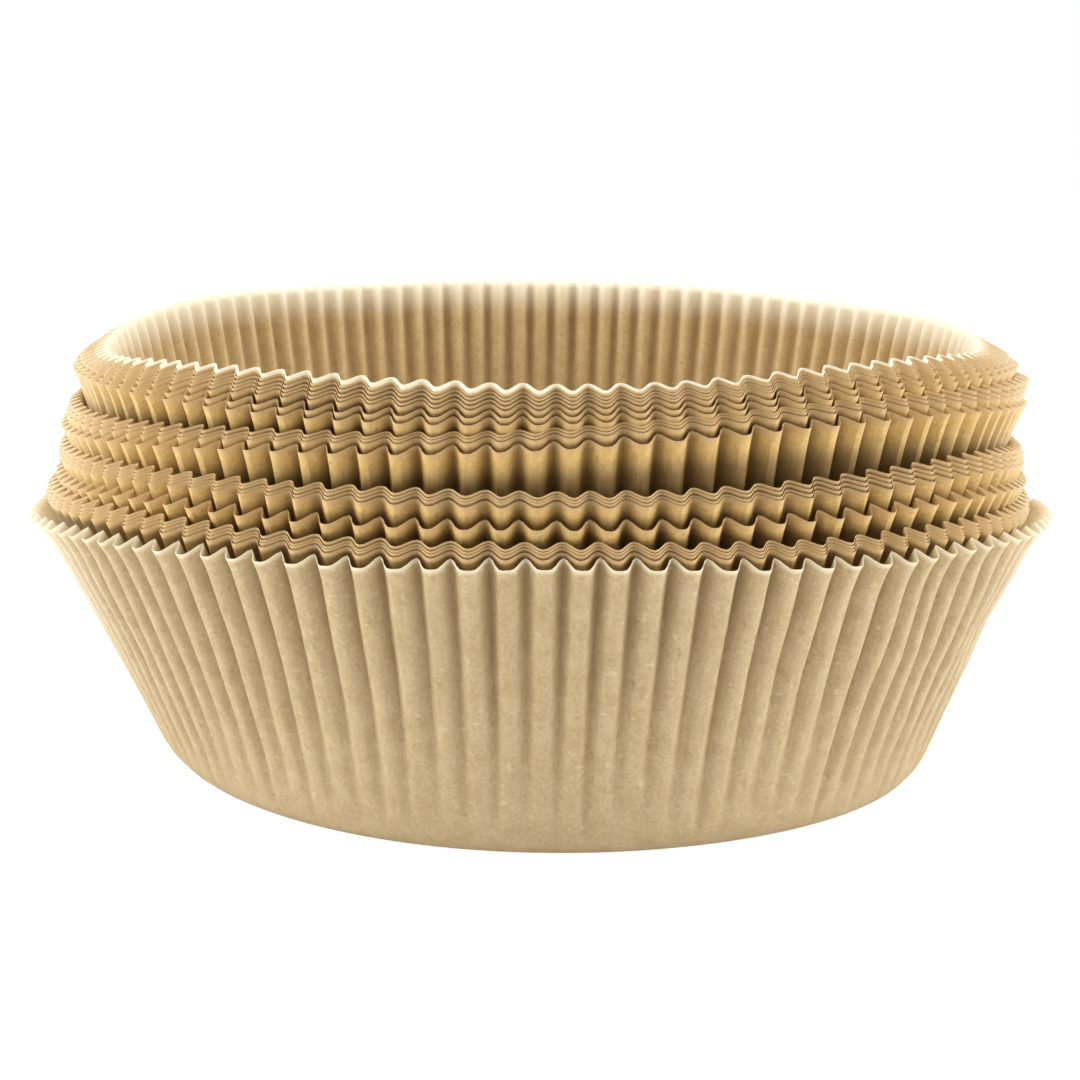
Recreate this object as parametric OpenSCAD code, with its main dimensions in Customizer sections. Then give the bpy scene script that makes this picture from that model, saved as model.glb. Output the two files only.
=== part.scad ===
// A nested stack of fluted parchment liners for a round cake pan.
// Origin: centre of the stack, on the surface that it stands on. X runs from side to side.
// Each liner is one pressed sheet of paper: a flat round base and a fluted wall that flares.
// They sit in each other in four bundles, with a loose liner or two round each bundle.
// In the lists of four, the first value is for the outermost bundle and the last for the innermost.

/* [Outermost liner] */
// Mean diameter of the flat base, for an 8 inch pan
base_d = 203; // [150:1:250]
// How far every base is squeezed in at its two sides, and bulges at its front and back
base_squeeze = 3.5; // [0:0.5:5]
// Height of the rim at the front and back
rim_h = 68; // [50:1:90]
// How much lower the rim is at its two sides
side_sag = 7.5; // [0:0.5:12]
// How far the rim stands out beyond the base at the front and back
flare = 21.5; // [16:0.5:35]
// How far the rim stands out beyond the base at its two sides
side_flare = 24.5; // [18:0.5:35]
// Further flop of this rim alone at its two sides
side_flop = 1.5; // [0:0.5:4]

/* [Paper] */
// Upright thickness of the paper
paper_t = 0.2; // [0.15:0.01:0.25]
// Number of flutes pressed round the wall
flutes = 110; // [80:1:120]
// Depth of a flute at the rim, from its lobe to its crease
flute_depth = 4; // [2:0.1:5]

/* [Bundles] */
// Liners pressed tightly together in each bundle
tight = [4, 4, 3, 6]; // [1:1:8]
// Loose liners round the outside of each bundle
loose = [1, 1, 1, 2]; // [1:1:3]

/* [Bases] */
// Rise of the base from one tight liner to the next
tight_seat = 0.5; // [0.4:0.05:0.6]
// Rise of the base from a loose liner to the next, or from one bundle to the next
loose_seat = 2.3; // [1.8:0.1:2.4]

/* [Rise of the rims] */
// Rise from one tight liner to the next inside it
tight_rise = 0.65; // [0.5:0.05:0.9]
// Rise from a loose liner to the next inside it
loose_rise = [1.2, 4, 1.7, 1.3]; // [1:0.1:5]
// How much more each of these rises is at the two sides
side_rise = 0.15; // [0:0.05:0.3]
// Rise from the innermost liner of the bundle outside, at the front and back
bundle_rise = [0, 3.9, 7.5, 2.9]; // [0:0.1:9]
// Rise from the innermost liner of the bundle outside, at the two sides
side_bundle_rise = [0, 4.8, 6.4, 7.4]; // [0:0.1:9]

/* [Gaps between the walls, level with the outer one's rim] */
// Gap between one tight liner and the next
tight_gap = 0.6; // [0.5:0.05:0.8]
// Gap between a loose liner and the next inside it
loose_gap = [0.9, 1.4, 0.8, 0.7]; // [0.6:0.1:2]
// How much wider each of these gaps is at the two sides
side_gap = 0.4; // [0:0.05:0.6]
// Gap between a bundle and the one outside it, at the front and back
bundle_gap = [0, 3.2, 3.2, 1.2]; // [0:0.1:4]
// Gap between a bundle and the one outside it, at the two sides
side_bundle_gap = [0, 1.6, 1.2, 1.4]; // [0:0.1:4]

/* [Hidden] */
bundles = len(tight);
bundle_start = [for (b = [0:bundles]) sum_of(loose, b) + sum_of(tight, b)];
last = bundle_start[bundles] - 1;
turn = 360 / flutes;
seat_steps = [for (k = [0:last]) k == 0 ? 0 : step_of(k, tight_seat, loose_seat, loose_seat)];

// Sum of the first n entries of a list
function sum_of(list, n) = n <= 0 ? 0 : list[n - 1] + sum_of(list, n - 1);
// Bundle of liner k, counted from the outside
function bundle_of(k) = len([for (b = [1:bundles - 1]) if (k >= bundle_start[b]) b]);
// The first value where liner k sits in a tight one, the second where it sits in a loose one, and the
// third where it is the first of its bundle
function step_of(k, in_tight, in_loose, in_bundle) = let (place = k - bundle_start[bundle_of(k)])
    place == 0 ? in_bundle : place <= loose[bundle_of(k)] ? in_loose : in_tight;
// Height of liner k's base
function seat(k) = sum_of(seat_steps, k + 1);

// Share of the sides' shape at angle a: 1 at the two sides, 0 at the front and back
function sideness(a) = (1 + cos(2 * a)) / 2;
function front_to_side(front, side, a) = front + (side - front) * sideness(a);
// Radius of every base at angle a
function base_radius(a) = base_d / 2 - base_squeeze * cos(2 * a);
// Rise of liner k's rim over the one outside it, and the gap between their walls, at angle a
function rise(k, a) = let (b = bundle_of(k)) step_of(k,
    tight_rise + side_rise * sideness(a),
    loose_rise[b] + side_rise * sideness(a),
    front_to_side(bundle_rise[b], side_bundle_rise[b], a));
function gap(k, a) = let (b = bundle_of(k)) step_of(k,
    tight_gap + side_gap * sideness(a),
    loose_gap[b] + (side_gap + (k == 1 ? side_flop : 0)) * sideness(a),
    front_to_side(bundle_gap[b], side_bundle_gap[b], a));
// Radius and height of the middle of liner k's rim at angle a. Its wall runs straight from its base,
// past the rim outside it with the gap between them, and on up to its own height.
function rim(k, a) = k == 0
    ? [base_radius(a) + front_to_side(flare, side_flare + side_flop, a), rim_h - side_sag * sideness(a)]
    : let (
        outer = rim(k - 1, a),
        z = outer[1] + rise(k, a),
        slope = (outer[0] - gap(k, a) - base_radius(a)) / (outer[1] - seat(k)))
    [base_radius(a) + slope * (z - seat(k)), z];
// Point of the rim at angle a, moved by d along the wall's own normal, out and down
function rim_point(k, a, d) = let (
        middle = rim(k, a),
        lean = atan2(middle[0] - base_radius(a), middle[1] - seat(k)),
        r = middle[0] + d * cos(lean))
    [r * cos(a), r * sin(a), middle[1] - d * sin(lean)];

// Corners of liner k's base, one under each lobe of its wall
function base_ring(k) = [for (i = [0:flutes - 1]) let (a = (i + 0.5) * turn, r = base_radius(a))
    [r * cos(a), r * sin(a), seat(k)]];
// The points of one face of the paper, and then the same points on its other face
function both_faces(points) = concat(points, [for (p = points) p + [0, 0, paper_t]]);

// Flat base of liner k
module base(k) {
    n = flutes;
    under = [for (i = [0:n - 1]) i];
    above = [for (i = [n - 1:-1:0]) n + i];
    sides = [for (i = [0:n - 1]) let (j = (i + 1) % n) [i, n + i, n + j, j]];
    polyhedron(both_faces(base_ring(k)), concat([under, above], sides));
}

// Wall of liner k: flat flutes at the base that are deepest at the rim. Each flute has three
// triangles, and edges join the two faces of the paper at the rim and at the base.
module wall(k) {
    n = flutes;
    m = 3 * n;
    half = flute_depth / 2;
    lobes = [for (i = [0:n - 1]) rim_point(k, (i + 0.5) * turn, half)];
    creases = [for (i = [0:n - 1]) rim_point(k, (i + 1) * turn, -half)];
    outside = [for (i = [0:n - 1]) let (j = (i + 1) % n) each [
        [i, n + i, 2 * n + i],
        [i, 2 * n + i, j],
        [j, 2 * n + i, n + j]]];
    inside = [for (t = outside) [t[2] + m, t[1] + m, t[0] + m]];
    edges = [for (i = [0:n - 1]) let (j = (i + 1) % n) each [
        [n + i, m + n + i, m + 2 * n + i, 2 * n + i],
        [2 * n + i, m + 2 * n + i, m + n + j, n + j],
        [j, m + j, m + i, i]]];
    polyhedron(both_faces(concat(base_ring(k), lobes, creases)), concat(outside, inside, edges));
}

module liner(k) {
    color("burlywood") {
        base(k);
        wall(k);
    }
}

function liner_name(k) = str("liner_", k < 9 ? "0" : "", k + 1);
for (k = [0:last])
    liner(k);
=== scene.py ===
import math
import random

import bmesh
import bpy
from mathutils import Matrix, Vector, noise


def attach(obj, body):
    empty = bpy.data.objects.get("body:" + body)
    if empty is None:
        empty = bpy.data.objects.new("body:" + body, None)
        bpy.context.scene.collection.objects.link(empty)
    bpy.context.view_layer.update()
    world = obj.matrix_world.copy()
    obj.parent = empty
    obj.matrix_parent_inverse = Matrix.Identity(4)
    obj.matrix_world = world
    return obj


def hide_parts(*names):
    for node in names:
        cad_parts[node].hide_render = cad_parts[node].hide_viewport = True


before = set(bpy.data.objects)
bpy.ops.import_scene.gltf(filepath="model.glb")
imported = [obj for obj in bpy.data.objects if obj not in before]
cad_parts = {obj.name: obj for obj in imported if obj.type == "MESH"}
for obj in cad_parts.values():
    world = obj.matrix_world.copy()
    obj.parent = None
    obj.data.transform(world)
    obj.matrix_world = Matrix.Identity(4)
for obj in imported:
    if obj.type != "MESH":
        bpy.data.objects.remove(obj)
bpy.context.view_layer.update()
print("frame loaded:", len(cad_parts), "liners")


# Where each liner of the stack lies, in metres, as in the part's source, but with the tight liners
# closer to each other and their bundles as much farther apart. In the lists of four, the first
# value is for the outermost bundle and the last for the innermost.
stack = {
    "baseRadius": 0.1015, "baseSqueeze": 0.0035, "rimHeight": 0.068, "sideSag": 0.0075,
    "flare": 0.0215, "sideFlare": 0.0245, "sideFlop": 0.0015, "flutes": 110,
    "tight": (4, 4, 3, 6), "loose": (1, 1, 1, 2),
    "tightSeat": 0.0005, "looseSeat": 0.0023,
    "tightRise": 0.00065, "looseRise": (0.0012, 0.004, 0.0017, 0.0013), "sideRise": 0.00015,
    "bundleRise": (0, 0.0039, 0.0075, 0.0029), "sideBundleRise": (0, 0.0048, 0.0064, 0.0074),
    "tightGap": 0.00035, "looseGap": (0.0009, 0.0014, 0.0008, 0.0007), "sideGap": 0.0002,
    "bundleGap": (0, 0.00395, 0.00395, 0.0017), "sideBundleGap": (0, 0.00315, 0.00275, 0.0025),
}

# How the paper is bent and pressed
paper = {
    "thickness": 0.0001,
    "depth": 0.0040,           # of a flute at the rim, from its lobe to its crease
    "depthFrom": (0.0, 0.14),  # share of the wall's height at which a flute begins, at random
    "depthCurve": 0.72,        # how soon a flute reaches its depth: lower is sooner
    "cornerHeight": 0.0049, "cornerPull": 0.0029, "cornerEdge": 0.0004,  # rounded corner of the base
    "baseIn": (0.0008, 0.0020),                        # base inside the solid's, front and sides
    "nestStep": 0.00008,       # how much smaller each base is than the one outside it
    "sagging": (0.06, 0.16),   # inward sag of the wall, front and sides
    "curlLength": 0.006,       # height over which a rim curls outwards
    "leanStep": 0.02,          # share of the wall's height over which its lean is taken
    "sideShadeFade": 0.65,         # how much less painted shade the tucked paper gets at the sides, from 0 to below 1
    "sharpAngle": 40,          # degrees past which an edge is shaded as a fold
}

# How uneven the paper is: the slow drift and the random shift of the flutes, in shares of a flute, the
# share of the full depth that single flutes have, and how far the rims of a whole bundle, of a loose
# liner and of a tight one go up and down
uneven = {"drift": 0.5, "shift": 0.35, "depths": (0.84, 1.1), "bundle": 0.0005, "loose": 0.0003,
          "tight": 0.00016}

# How each kind of liner is pressed: the share of the full depth that its flutes have, how far its
# rim curls outwards, how far its lobes hang lower than its creases, and the sharpness of its
# creases. Above 1 the creases are narrow, below -1 the lobes are.
pressing = {
    "outer": {"depth": 0.95, "curl": 0.0006, "droop": 0.0001, "sharp": 2.3},
    "loose": {"depth": 1.0, "curl": 0.0004, "droop": 0.0, "sharp": 1.6},
    "first": {"depth": 0.84, "curl": 0.0, "droop": 0.0, "sharp": 1.1},
    "middle": {"depth": 0.82, "curl": 0.0, "droop": 0.0, "sharp": 1.0},
    "last": {"depth": 0.8, "curl": 0.0, "droop": 0.0, "sharp": -1.05},
    "innerLoose": {"depth": 0.94, "curl": 0.0006, "droop": 0.0, "sharp": 1.5},
    "innerFirst": {"depth": 0.84, "curl": 0.0006, "droop": 0.0, "sharp": 1.05},
    "innerMiddle": {"depth": 0.82, "curl": 0.0006, "droop": 0.0, "sharp": 1.0},
    "innerLast": {"depth": 0.79, "curl": 0.0006, "droop": 0.0, "sharp": -1.2},
}
phases = (-0.04, -0.23, -0.27, -0.25)      # of the flutes of each bundle, in shares of a flute
outerPhase = 0.0                           # of the outermost liner's

# Where handling has pushed the liners out of round, and where painted light lies at the ends: the first
# and last liner, the angle at which it is strongest and how far it reaches in degrees, and then for each
# of these two liners how far the rim goes out and up, how much more it curls out, how much more the wall
# sags, how far the base goes out, how much deeper the flutes are, and how much painted light makes the
# paper paler there. The liners between the two share out the difference, and a push of one liner takes
# the first value.
pushes = (
    {"liners": (0, 0), "at": 196, "reach": 13, "out": (0.0012, 0), "up": (-0.0024, 0), "curl": (0.0010, 0),
     "deep": (-0.0009, 0), "lit": (0.9, 0)},
    {"liners": (1, 21), "at": 196, "reach": 14, "lit": (0.4, 0.4)},
    {"liners": (1, 21), "at": -14, "reach": 14, "lit": (0.4, 0.4)},
    {"liners": (0, 0), "at": 168, "reach": 15, "out": (-0.0028, 0), "up": (-0.0045, 0)},
    {"liners": (5, 9), "at": 194, "reach": 28, "out": (-0.0010, -0.0005), "up": (-0.0010, -0.0010)},
    {"liners": (10, 13), "at": 194, "reach": 28, "out": (-0.0005, -0.0005), "up": (-0.0025, -0.0015)},
    {"liners": (14, 21), "at": 192, "reach": 32, "out": (-0.0018, -0.0037), "up": (0.0004, -0.0033)},
    {"liners": (14, 21), "at": 145, "reach": 25, "up": (0.0007, 0.0018)},
    {"liners": (0, 0), "at": -16, "reach": 13, "out": (-0.0010, 0), "up": (0.0008, 0), "curl": (0.0014, 0),
     "deep": (-0.0009, 0), "sag": (0.15, 0), "lit": (0.9, 0)},
    {"liners": (0, 0), "at": 12, "reach": 15, "out": (-0.0028, 0), "up": (-0.0035, 0)},
    {"liners": (0, 0), "at": -38, "reach": 28, "base": (0.0030, 0)},
    {"liners": (1, 4), "at": -12, "reach": 26, "out": (-0.0038, -0.0034)},
    {"liners": (5, 9), "at": -12, "reach": 26, "out": (-0.0030, -0.0028), "up": (-0.0009, -0.0003)},
    {"liners": (10, 13), "at": -12, "reach": 26, "out": (-0.0020, 0), "up": (0.0047, 0.0067),
     "sag": (0.2, 0.2)},
    {"liners": (14, 21), "at": -12, "reach": 26, "out": (-0.0026, -0.0059), "up": (0.0025, -0.0012),
     "sag": (0.1, 0.1)},
    {"liners": (0, 0), "at": -36, "reach": 14, "up": (0.0013, 0)},
    {"liners": (1, 4), "at": -40, "reach": 22, "up": (0.0022, 0.0022)},
    {"liners": (5, 9), "at": -42, "reach": 26, "up": (0.0032, 0.0048)},
    {"liners": (10, 13), "at": -52, "reach": 30, "up": (0.0075, 0.0075)},
    {"liners": (14, 21), "at": -50, "reach": 30, "out": (-0.0004, -0.0004), "up": (0.0055, 0.0042)},
    {"liners": (1, 4), "at": -140, "reach": 24, "up": (0.0024, 0.0024)},
    {"liners": (5, 9), "at": -145, "reach": 24, "up": (0.0010, 0.0006)},
    {"liners": (14, 21), "at": -118, "reach": 28, "up": (0, 0.0016)},
    {"liners": (14, 21), "at": 85, "reach": 48, "up": (0.0032, 0.0032)},
    {"liners": (14, 21), "at": 48, "reach": 18, "up": (-0.0004, -0.0009)},
)
pushed = {"radius": "out", "height": "up", "curl": "curl", "sag": "sag", "base": "base", "depth": "deep",
          "lit": "lit"}

# Fine crumpling of the outermost wall: its depth all round, the depth added where it is strongest,
# that angle and its reach in degrees, how many crumples there are in a metre around, the share of
# that number that there is upwards, and how soon up the wall they have their full depth
crumple = {"depth": 0.0005, "added": 0.0011, "at": -38, "reach": 24, "scale": 75, "upright": 0.8,
           "start": 2}


def blend(front, side, share):
    return front + (side - front) * share


def clamp(value):
    return min(max(value, 0), 1)


# Share of a push or crumple that is left at an angle
def bell(angle, at, reach):
    away = (math.degrees(angle) - at + 180) % 360 - 180
    return math.exp(-(away / reach) ** 2)


# Bundle of a liner, its place in the bundle, and whether it lies loose
def placeInStack(k):
    start = 0
    for b, (loose, tight) in enumerate(zip(stack["loose"], stack["tight"])):
        if k < start + loose + tight:
            return b, k - start, k - start < loose
        start += loose + tight


# A value for the step from the liner outside to liner k
def stepOf(k, inTight, inLoose, inBundle):
    bundle, place, _ = placeInStack(k)
    if place == 0:
        return inBundle
    return inLoose if place <= stack["loose"][bundle] else inTight


def seatOf(k):
    return sum(stepOf(i, stack["tightSeat"], stack["looseSeat"], stack["looseSeat"])
               for i in range(1, k + 1))


linerCount = sum(stack["tight"]) + sum(stack["loose"])
seats = [seatOf(k) for k in range(linerCount)]


# Radius and height of liner k's rim, worked out from those outside it
def rimAt(k, sideness, baseRadius):
    radius = baseRadius + blend(stack["flare"], stack["sideFlare"] + stack["sideFlop"], sideness)
    height = stack["rimHeight"] - stack["sideSag"] * sideness
    for i in range(1, k + 1):
        bundle = placeInStack(i)[0]
        rise = stepOf(i, stack["tightRise"] + stack["sideRise"] * sideness,
                      stack["looseRise"][bundle] + stack["sideRise"] * sideness,
                      blend(stack["bundleRise"][bundle], stack["sideBundleRise"][bundle], sideness))
        flop = stack["sideFlop"] if i == 1 else 0
        gap = stepOf(i, stack["tightGap"] + stack["sideGap"] * sideness,
                     stack["looseGap"][bundle] + (stack["sideGap"] + flop) * sideness,
                     blend(stack["bundleGap"][bundle], stack["sideBundleGap"][bundle], sideness))
        seat = seats[i]
        slope = (radius - gap - baseRadius) / (height - seat)
        height += rise
        radius = baseRadius + slope * (height - seat)
    return radius, height


# Slow waves round the stack: the same seed gives the same waves, so that liners still nest
def waves(seed, count, size):
    rand = random.Random(seed)
    parts = [(rand.randint(2, 9), rand.uniform(0, math.tau), rand.uniform(0.4, 1)) for _ in range(count)]
    return lambda angle: size * sum(w * math.sin(n * angle + p) for n, p, w in parts) / count ** 0.5


# Shape of a flute: 1 at its lobe and -1 at its crease
def fluteShape(phase, sharp):
    if sharp > 0:
        return 1 - 2 * (math.sin(phase / 2) ** 2) ** sharp
    return 2 * (math.cos(phase / 2) ** 2) ** -sharp - 1


# The kind of pressing that liner k has
def pressingOf(k):
    if k == 0:
        return "outer"
    bundle, place, loose = placeInStack(k)
    kind = "middle"
    if loose:
        kind = "loose"
    elif k + 1 == linerCount or placeInStack(k + 1)[0] != bundle:
        kind = "last"
    elif place == stack["loose"][bundle]:
        kind = "first"
    return "inner" + kind.capitalize() if bundle == len(phases) - 1 else kind


# What liner k does at each of its columns of points
def columnsOf(k, perFlute):
    bundle, _, loose = placeInStack(k)
    press = pressing[pressingOf(k)]
    phase = outerPhase if k == 0 else phases[bundle]
    drift = waves(11, 5, uneven["drift"])
    rimWave = waves(20 + bundle, 5, uneven["bundle"])
    ownRim = waves(60 + k, 6, uneven["loose"] if loose else uneven["tight"])
    rand = random.Random(100 + bundle)
    flutes = stack["flutes"]
    deep = [rand.uniform(*uneven["depths"]) for _ in range(flutes)]
    shift = [rand.uniform(-uneven["shift"], uneven["shift"]) for _ in range(flutes)]
    begin = [rand.uniform(*paper["depthFrom"]) for _ in range(flutes)]
    local = [push for push in pushes if push["liners"][0] <= k <= push["liners"][1]]
    columns = []
    for i in range(flutes * perFlute):
        here = i / perFlute + 0.5
        low, part = int(here) % flutes, here % 1
        high = (low + 1) % flutes
        turn = i / perFlute + phase
        angle = math.tau * turn / flutes - math.pi / 2
        angle += (drift(angle) + blend(shift[low], shift[high], part)) / flutes
        sideness = (1 + math.cos(2 * angle)) / 2
        baseRadius = stack["baseRadius"] - stack["baseSqueeze"] * math.cos(2 * angle)
        radius, height = rimAt(k, sideness, baseRadius)
        # How far the rim rises over the one outside it, which sets where the painted shade on the tucked
        # paper turns dark
        shown = height - rimAt(k - 1, sideness, baseRadius)[1] if 0 < k < linerCount - 1 else 1
        column = {
            "shown": shown / (1 - paper["sideShadeFade"] * sideness),
            "angle": angle, "radius": radius, "height": height + rimWave(angle) + ownRim(angle),
            "base": baseRadius - blend(*paper["baseIn"], sideness) - k * paper["nestStep"],
            "seat": seats[k], "sag": blend(*paper["sagging"], sideness), "curl": press["curl"],
            "depth": paper["depth"] / 2 * press["depth"] * blend(deep[low], deep[high], part),
            "begin": blend(begin[low], begin[high], part), "lit": 0,
            "shape": fluteShape(math.tau * i / perFlute, press["sharp"]), "droop": press["droop"],
        }
        for push in local:
            share = bell(angle, push["at"], push["reach"])
            first, last = push["liners"]
            step = (k - first) / max(last - first, 1)
            for key, name in pushed.items():
                column[key] += blend(*push.get(name, (0, 0)), step) * share
        columns.append(column)
    return columns


# Radius and height of the middle of a column's paper at a share of the wall's height, and the share
# of its curl that it has there
def wallPoint(column, share):
    full = column["height"] - column["seat"]
    curled = clamp((share - 1) * full / paper["curlLength"] + 1) ** 2
    reach = column["radius"] - column["base"]
    radius = column["base"] + reach * (share - column["sag"] * share * (1 - share))
    return radius + column["curl"] * curled, column["seat"] + full * share, curled


# Place of a column's point. Below 0 it lies in the rounded corner of the base, down to the flat at -1.
def paperPoint(column, share):
    full = column["height"] - column["seat"]
    cornerTop = paper["cornerHeight"] / full
    if share < 0:
        top, topHeight, _ = wallPoint(column, cornerTop)
        flat, t = column["base"] - paper["cornerPull"], 1 + share
        edge = column["base"] - paper["cornerEdge"]
        radius = (1 - t) ** 2 * flat + 2 * t * (1 - t) * edge + t * t * top
        height = (1 - t * t) * column["seat"] + t * t * topHeight
        return radius, height
    share = cornerTop + (1 - cornerTop) * share
    radius, height, curled = wallPoint(column, share)
    below, belowHeight, _ = wallPoint(column, share - paper["leanStep"])
    lean = math.atan2(radius - below, height - belowHeight)
    grow = clamp((share - column["begin"]) / (1 - column["begin"])) ** paper["depthCurve"]
    out = column["depth"] * column["shape"] * grow
    droop = column["droop"] * curled * (1 + column["shape"]) / 2
    return radius + out * math.cos(lean), height - out * math.sin(lean) - droop


# How far out the crumpling of the outermost wall moves a point
def crumpleAt(angle, z, share):
    depth = crumple["depth"] + crumple["added"] * bell(angle, crumple["at"], crumple["reach"])
    around = stack["baseRadius"] * Vector((math.cos(angle), math.sin(angle), 0))
    spot = (around + Vector((0, 0, z * crumple["upright"]))) * crumple["scale"]
    return depth * clamp(share * crumple["start"]) * noise.noise(spot)


# Rows of points up the wall, as shares of its height, for liners that show more or less of it
rows = {
    "outside": (-0.65, -0.3, 0, 0.05, 0.1, 0.16, 0.23, 0.31, 0.4, 0.5, 0.6, 0.7, 0.78, 0.85, 0.9,
                0.94, 0.97, 1),
    "inside": (-0.5, 0, 0.07, 0.16, 0.28, 0.42, 0.56, 0.7, 0.8, 0.88, 0.93, 0.97, 1),
    "front": (-0.5, 0, 0.2, 0.5, 0.7, 0.8, 0.87, 0.92, 0.96, 1),
    "hidden": (-0.5, 0, 0.3, 0.65, 0.88, 0.95, 1),
}


def makeLiner(k, kind, perFlute):
    columns = columnsOf(k, perFlute)
    bm = bmesh.new()
    column = bm.verts.layers.int.new("column")
    height = bm.verts.layers.float.new("height")
    # Mask of the crease darkening, partly the pressed fold's own tone and partly painted shade
    crease = bm.verts.layers.float.new("crease")
    # Mask of the painted shade on the paper tucked behind the next rim
    tuckShade = bm.verts.layers.float.new("tuckShade")       # 0 at the rim, 1 level with the rim outside it
    # Share of the painted light at the ends of the stack
    lit = bm.verts.layers.float.new("lit")
    bmesh.ops.create_circle(bm, cap_ends=True, segments=len(columns), radius=stack["baseRadius"])
    for i, vert in enumerate(bm.verts):
        vert[column] = i
    ring = list(bm.edges)
    for share in (-1,) + rows[kind]:
        if share > -1:
            made = bmesh.ops.extrude_edge_only(bm, edges=ring)["geom"]
            ring = [item for item in made if isinstance(item, bmesh.types.BMEdge)]
        for vert in {v for edge in ring for v in edge.verts}:
            here = columns[vert[column]]
            radius, z = paperPoint(here, share)
            if k == 0:
                radius += crumpleAt(here["angle"], z, share)
            vert.co = (radius * math.cos(here["angle"]), radius * math.sin(here["angle"]), z)
            vert[height] = max(share, 0)
            vert[lit] = here["lit"] * max(share, 0)
            vert[crease] = (1 - here["shape"]) / 2 * clamp(share - here["begin"]) ** 0.5
            vert[tuckShade] = (1 - max(share, 0)) * (here["height"] - here["seat"]) / here["shown"]
    bmesh.ops.remove_doubles(bm, verts=bm.verts, dist=1e-6)
    bmesh.ops.recalc_face_normals(bm, faces=bm.faces)
    floorFace = max(bm.faces, key=lambda face: len(face.verts))
    if floorFace.normal.z > 0:
        bmesh.ops.reverse_faces(bm, faces=bm.faces)
    bmesh.ops.triangulate(bm, faces=[floorFace])
    mesh = bpy.data.meshes.new(f"liner{k + 1:02d}")
    bm.to_mesh(mesh)
    bm.free()
    mesh.shade_smooth()
    mesh.set_sharp_from_angle(angle=math.radians(paper["sharpAngle"]))
    return mesh


# A value in a shader, so that sums and products of values can be written as such
class Value:
    def __init__(self, shade, socket):
        self.shade, self.socket = shade, socket

    def math(self, operation, first, second):
        return self.shade.node("ShaderNodeMath", {"operation": operation}, {0: first, 1: second})

    def __add__(self, other):
        return self.math("ADD", self, other)

    def __sub__(self, other):
        return self.math("SUBTRACT", self, other)

    def __rsub__(self, other):
        return self.math("SUBTRACT", other, self)

    def __mul__(self, other):
        return self.math("MULTIPLY", self, other)

    __radd__ = __add__
    __rmul__ = __mul__


# The nodes of a material or world in the making
class Shade:
    def __init__(self, owner):
        owner.use_nodes = True
        self.tree = owner.node_tree
        self.tree.nodes.clear()

    # One node: its settings are set first, then its sockets are given values or links
    def node(self, kind, settings=None, sockets=None, output=0):
        made = self.tree.nodes.new(kind)
        for key, setting in (settings or {}).items():
            setattr(made, key, setting)
        for key, value in (sockets or {}).items():
            if isinstance(value, Value):
                self.tree.links.new(value.socket, made.inputs[key])
            else:
                made.inputs[key].default_value = value
        return Value(self, made.outputs[output]) if made.outputs else made

    def mix(self, factor, first, second):
        return self.node("ShaderNodeMix", {"data_type": "RGBA"}, {0: factor, 6: first, 7: second}, 2)

    def fit(self, value, low, high, toLow=0.0, toHigh=1.0):
        return self.node("ShaderNodeMapRange", {"interpolation_type": "SMOOTHSTEP"},
                         {0: value, 1: low, 2: high, 3: toLow, 4: toHigh})

    def grain(self, place, scale, detail=3.0, rough=0.5):
        return self.node("ShaderNodeTexNoise", {}, {"Vector": place, "Scale": scale, "Detail": detail,
                                                   "Roughness": rough})

    def attribute(self, name):
        return self.node("ShaderNodeAttribute", {"attribute_name": name}, output=2)

    # 1 for what the camera sees itself, in a mirror or through glass, and 0 for light on the way
    def seenDirectly(self):
        camera, glossy, transmission = (self.node("ShaderNodeLightPath", output=i) for i in (0, 3, 6))
        return camera + glossy + transmission


def srgb(*channels):
    return [(c / 255 / 12.92 if c <= 10 else ((c / 255 + 0.055) / 1.055) ** 2.4) for c in channels] + [1]


# Parchment of each slot: its colours from thin to thick, and the colours of its pale flecks, its rim, its
# dark flecks together with its creases, whose darkening is partly the pressed fold's tone and partly
# painted shade, its foot, painted paler outside where the floor throws light up and darker inside towards
# the bottom, the painted shade on what is tucked behind the next rim and the painted light at the ends,
# with how strong the crease shade, the foot tone and the tucked shade show. The rim's colour, a paler edge
# that on the outer and inner liners is painted light glowing through the thin top, begins at a share of
# the wall's height. The last two are the colour and the share of the light that comes through.
parchment = {
    "outer_paper": {"pale": srgb(214, 194, 156), "deep": srgb(191, 167, 124), "fleck": srgb(236, 221, 190),
                    "rim": srgb(246, 236, 210), "rimFrom": 0.978, "darkFleckAndCreaseShade": srgb(146, 114, 66), "creaseShadeShare": 0.42,
                    "paintedFootTone": srgb(230, 212, 176), "paintedFootShare": 0.1,
                    "paintedEndLight": srgb(255, 247, 228), "glow": srgb(248, 236, 206), "through": 0.32},
    "bundle_paper": {"pale": srgb(222, 187, 120), "deep": srgb(202, 165, 95), "fleck": srgb(226, 200, 150),
                     "rim": srgb(208, 174, 120), "rimFrom": 0.975, "darkFleckAndCreaseShade": srgb(112, 76, 32), "creaseShadeShare": 0.6,
                     # hidden is the colour of the painted shade on the paper tucked behind the next rim
                     "hidden": srgb(72, 42, 12), "tuckShadeShare": 0.72,
                     "paintedEndLight": srgb(248, 234, 202), "glow": srgb(226, 196, 140), "through": 0.18},
    "inner_paper": {"pale": srgb(223, 197, 148), "deep": srgb(203, 174, 121), "fleck": srgb(228, 204, 161),
                    "rim": srgb(255, 248, 226), "rimFrom": 0.84, "darkFleckAndCreaseShade": srgb(140, 106, 60), "creaseShadeShare": 0.42,
                    "paintedFootTone": srgb(200, 170, 116), "paintedFootShare": 0.35, "seenInside": True,
                    "paintedEndLight": srgb(250, 238, 208), "glow": srgb(244, 222, 176), "through": 0.24},
}

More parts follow.
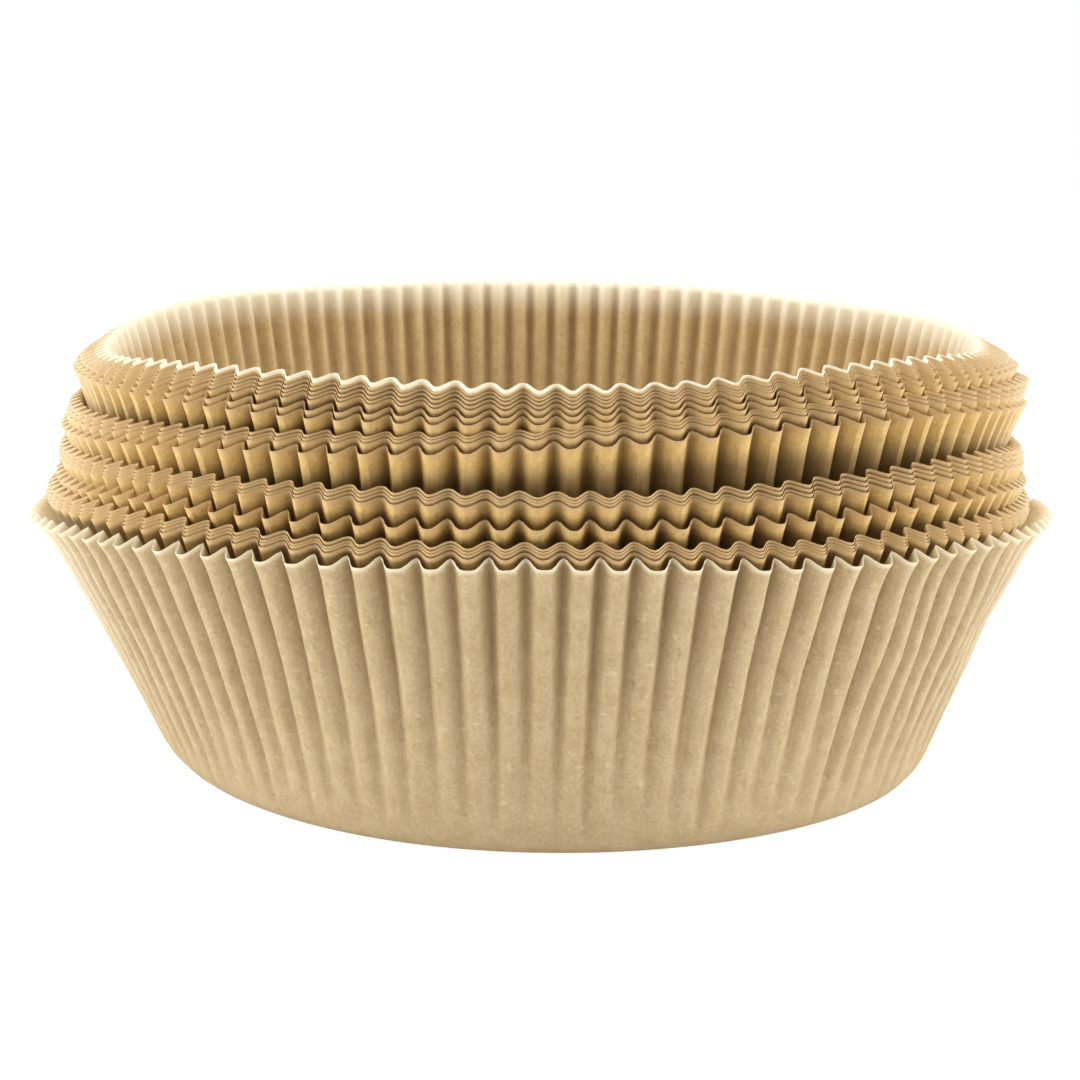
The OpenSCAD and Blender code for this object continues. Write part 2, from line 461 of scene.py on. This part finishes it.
# Grain of the paper: how many clouds, fibres and flecks there are in a metre, how strong the pale and
# the dark flecks show, the strength and height of the bump, the roughness from the lowest fibre to
# the highest, and how strongly the paper reflects
fibre = {"clouds": 220.0, "fibres": 1300.0, "paleFlecks": 640.0, "darkFlecks": 570.0, "paleShare": 0.45,
         "darkShare": 0.35, "bump": 0.3, "bumpHeight": 0.00015, "roughness": (0.5, 0.66), "shine": 0.3}


def makeParchment(name, look):
    material = bpy.data.materials.new(name)
    shade = Shade(material)
    place = shade.node("ShaderNodeTexCoord", output=3)
    height = shade.attribute("height")
    crease = shade.attribute("crease")
    clouds = shade.grain(place, fibre["clouds"], 3.0, 0.6)
    fibres = shade.grain(place, fibre["fibres"], 3.0, 0.65)
    paleFlecks = shade.grain(place, fibre["paleFlecks"], 1.0)
    darkFlecks = shade.grain(place, fibre["darkFlecks"], 1.0)
    blotches = shade.fit(clouds * 0.35 + fibres * 0.65, 0.36, 0.64)
    body = shade.mix(blotches, look["deep"], look["pale"])
    body = shade.mix(shade.fit(paleFlecks, 0.62, 0.76, 0.0, fibre["paleShare"]), body, look["fleck"])
    body = shade.mix(shade.fit(darkFlecks, 0.64, 0.78, 0.0, fibre["darkShare"]), body, look["darkFleckAndCreaseShade"])
    # Painted tone low on the wall: on the outer liner paler, as painted light bounced up from the floor; on
    # the inner liner darker towards the bottom
    if "paintedFootTone" in look:
        body = shade.mix(shade.fit(height, 0.0, 0.6, look["paintedFootShare"], 0.0), body, look["paintedFootTone"])
    # Creases darkened partly by the pressed fold's own tone and partly by painted shade; on the inner liner
    # the mask is turned over, so the darkening falls in the grooves seen from inside and low on its wall
    creaseShadeMask = 1 - crease if look.get("seenInside") else crease
    body = shade.mix(shade.fit(creaseShadeMask, 0.35, 1.0, 0.0, look["creaseShadeShare"]), body, look["darkFleckAndCreaseShade"])
    # Paler rim colour at the top; on the outer and inner liners it is painted light glowing through the thin
    # top of the paper
    colour = shade.mix(shade.fit(height, look["rimFrom"], 1.0), body, look["rim"])
    # Painted shade on the paper tucked behind the next rim, which also draws the dark lines between pressed
    # sheets
    if "hidden" in look:
        tuckShade = shade.attribute("tuckShade")
        colour = shade.mix(shade.fit(tuckShade, 0.3, 1.1, 0.0, look["tuckShadeShare"]), colour, look["hidden"])
    # Painted light at the ends of the stack
    colour = shade.mix(shade.attribute("lit"), colour, look["paintedEndLight"])
    bump = shade.node("ShaderNodeBump", {}, {"Strength": fibre["bump"], "Distance": fibre["bumpHeight"],
                                             "Height": clouds * 0.4 + fibres * 0.6})
    front = shade.node("ShaderNodeBsdfPrincipled", {}, {
        "Base Color": colour, "Roughness": shade.fit(fibres, 0.35, 0.65, *fibre["roughness"]),
        "Normal": bump, "Specular IOR Level": fibre["shine"]})
    behind = shade.node("ShaderNodeBsdfTranslucent", {}, {"Color": look["glow"], "Normal": bump})
    both = shade.node("ShaderNodeMixShader", {}, {0: look["through"], 1: front, 2: behind})
    shade.node("ShaderNodeOutputMaterial", {}, {"Surface": both})
    return material


# How much of liner k shows, its points for each flute, and its slot
def finishOf(k):
    if k == 0:
        return "outside", 10, "outer_paper"
    if k == linerCount - 1:
        return "inside", 10, "inner_paper"
    bundle, place, loose = placeInStack(k)
    kind = "front" if loose or place == stack["loose"][bundle] else "hidden"
    return kind, 8, "bundle_paper"


finishes = {slot: makeParchment(slot.replace("_", " "), look) for slot, look in parchment.items()}
print("parchment ready")

for k in range(linerCount):
    kind, perFlute, slot = finishOf(k)
    liner = bpy.data.objects.new(f"paper_liner_{k + 1:02d}", makeLiner(k, kind, perFlute))
    bpy.context.scene.collection.objects.link(liner)
    liner.data.materials.append(finishes[slot])
    wall = liner.modifiers.new("paper", "SOLIDIFY")
    wall.thickness = paper["thickness"]
    wall.offset = 0
    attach(liner, "root")
    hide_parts(f"liner_{k + 1:02d}")
print("liners made:", linerCount)


studio = {
    "floorSize": 6.0, "floorColour": (0.93, 0.93, 0.93, 1), "world": 0.69,
    "shadowColour": (0.45, 0.45, 0.45, 1), "floorGlow": 0.9, "aim": (0, 0, 0.05),
    "lamps": (
        {"name": "left", "place": (-1.1, -0.2, 0.42), "size": 0.9, "power": 13},
        {"name": "right", "place": (1.1, -0.2, 0.42), "size": 0.9, "power": 11.5},
        {"name": "top", "place": (0.0, 0.15, 1.3), "size": 1.0, "power": 8},
        {"name": "back", "place": (0.0, 1.2, 0.5), "size": 1.0, "power": 6},
    ),
}
view = {"place": (-0.00113, -0.5179, 0.1556), "down": 0.2078, "roll": 0.0143, "lens": 69.04,
        "sensor": 36, "near": 0.01}


def makeFloor():
    mesh = bpy.data.meshes.new("floor")
    bm = bmesh.new()
    bmesh.ops.create_grid(bm, x_segments=1, y_segments=1, size=studio["floorSize"] / 2)
    bm.to_mesh(mesh)
    bm.free()
    floor = bpy.data.objects.new("floor", mesh)
    bpy.context.scene.collection.objects.link(floor)
    paint = bpy.data.materials.new("floor")
    shade = Shade(paint)
    plain = shade.node("ShaderNodeBsdfDiffuse", {}, {"Color": studio["floorColour"]})
    shadowed = shade.node("ShaderNodeBsdfDiffuse", {}, {"Color": studio["shadowColour"]})
    white = shade.node("ShaderNodeEmission", {}, {"Strength": studio["floorGlow"]})
    seenFloor = shade.node("ShaderNodeAddShader", {}, {0: shadowed, 1: white})
    both = shade.node("ShaderNodeMixShader", {}, {0: shade.seenDirectly(), 1: plain, 2: seenFloor})
    shade.node("ShaderNodeOutputMaterial", {}, {"Surface": both})
    mesh.materials.append(paint)


def makeWorld():
    world = bpy.data.worlds.new("studio")
    bpy.context.scene.world = world
    shade = Shade(world)
    strength = shade.seenDirectly() * (1 - studio["world"]) + studio["world"]
    sky = shade.node("ShaderNodeBackground", {}, {"Color": (1, 1, 1, 1), "Strength": strength})
    shade.node("ShaderNodeOutputWorld", {}, {"Surface": sky})


def makeLamp(lamp):
    light = bpy.data.lights.new(lamp["name"], "AREA")
    light.energy, light.size = lamp["power"], lamp["size"]
    lampObject = bpy.data.objects.new(lamp["name"], light)
    bpy.context.scene.collection.objects.link(lampObject)
    lampObject.location = lamp["place"]
    aim = Vector(studio["aim"]) - Vector(lamp["place"])
    lampObject.rotation_euler = aim.to_track_quat("-Z", "Y").to_euler()


def makeCamera():
    camera = bpy.data.objects.new("camera", bpy.data.cameras.new("camera"))
    bpy.context.scene.collection.objects.link(camera)
    camera.data.lens = view["lens"]
    camera.data.sensor_width = view["sensor"]
    camera.data.clip_start = view["near"]
    tilt = Matrix.Rotation(math.pi / 2 - view["down"], 4, "X")
    roll = Matrix.Rotation(view["roll"], 4, "Z")
    camera.matrix_world = Matrix.Translation(view["place"]) @ tilt @ roll
    bpy.context.scene.camera = camera


makeFloor()
makeWorld()
for lamp in studio["lamps"]:
    makeLamp(lamp)
makeCamera()
bpy.context.scene.view_settings.view_transform = "Standard"
print("studio ready")
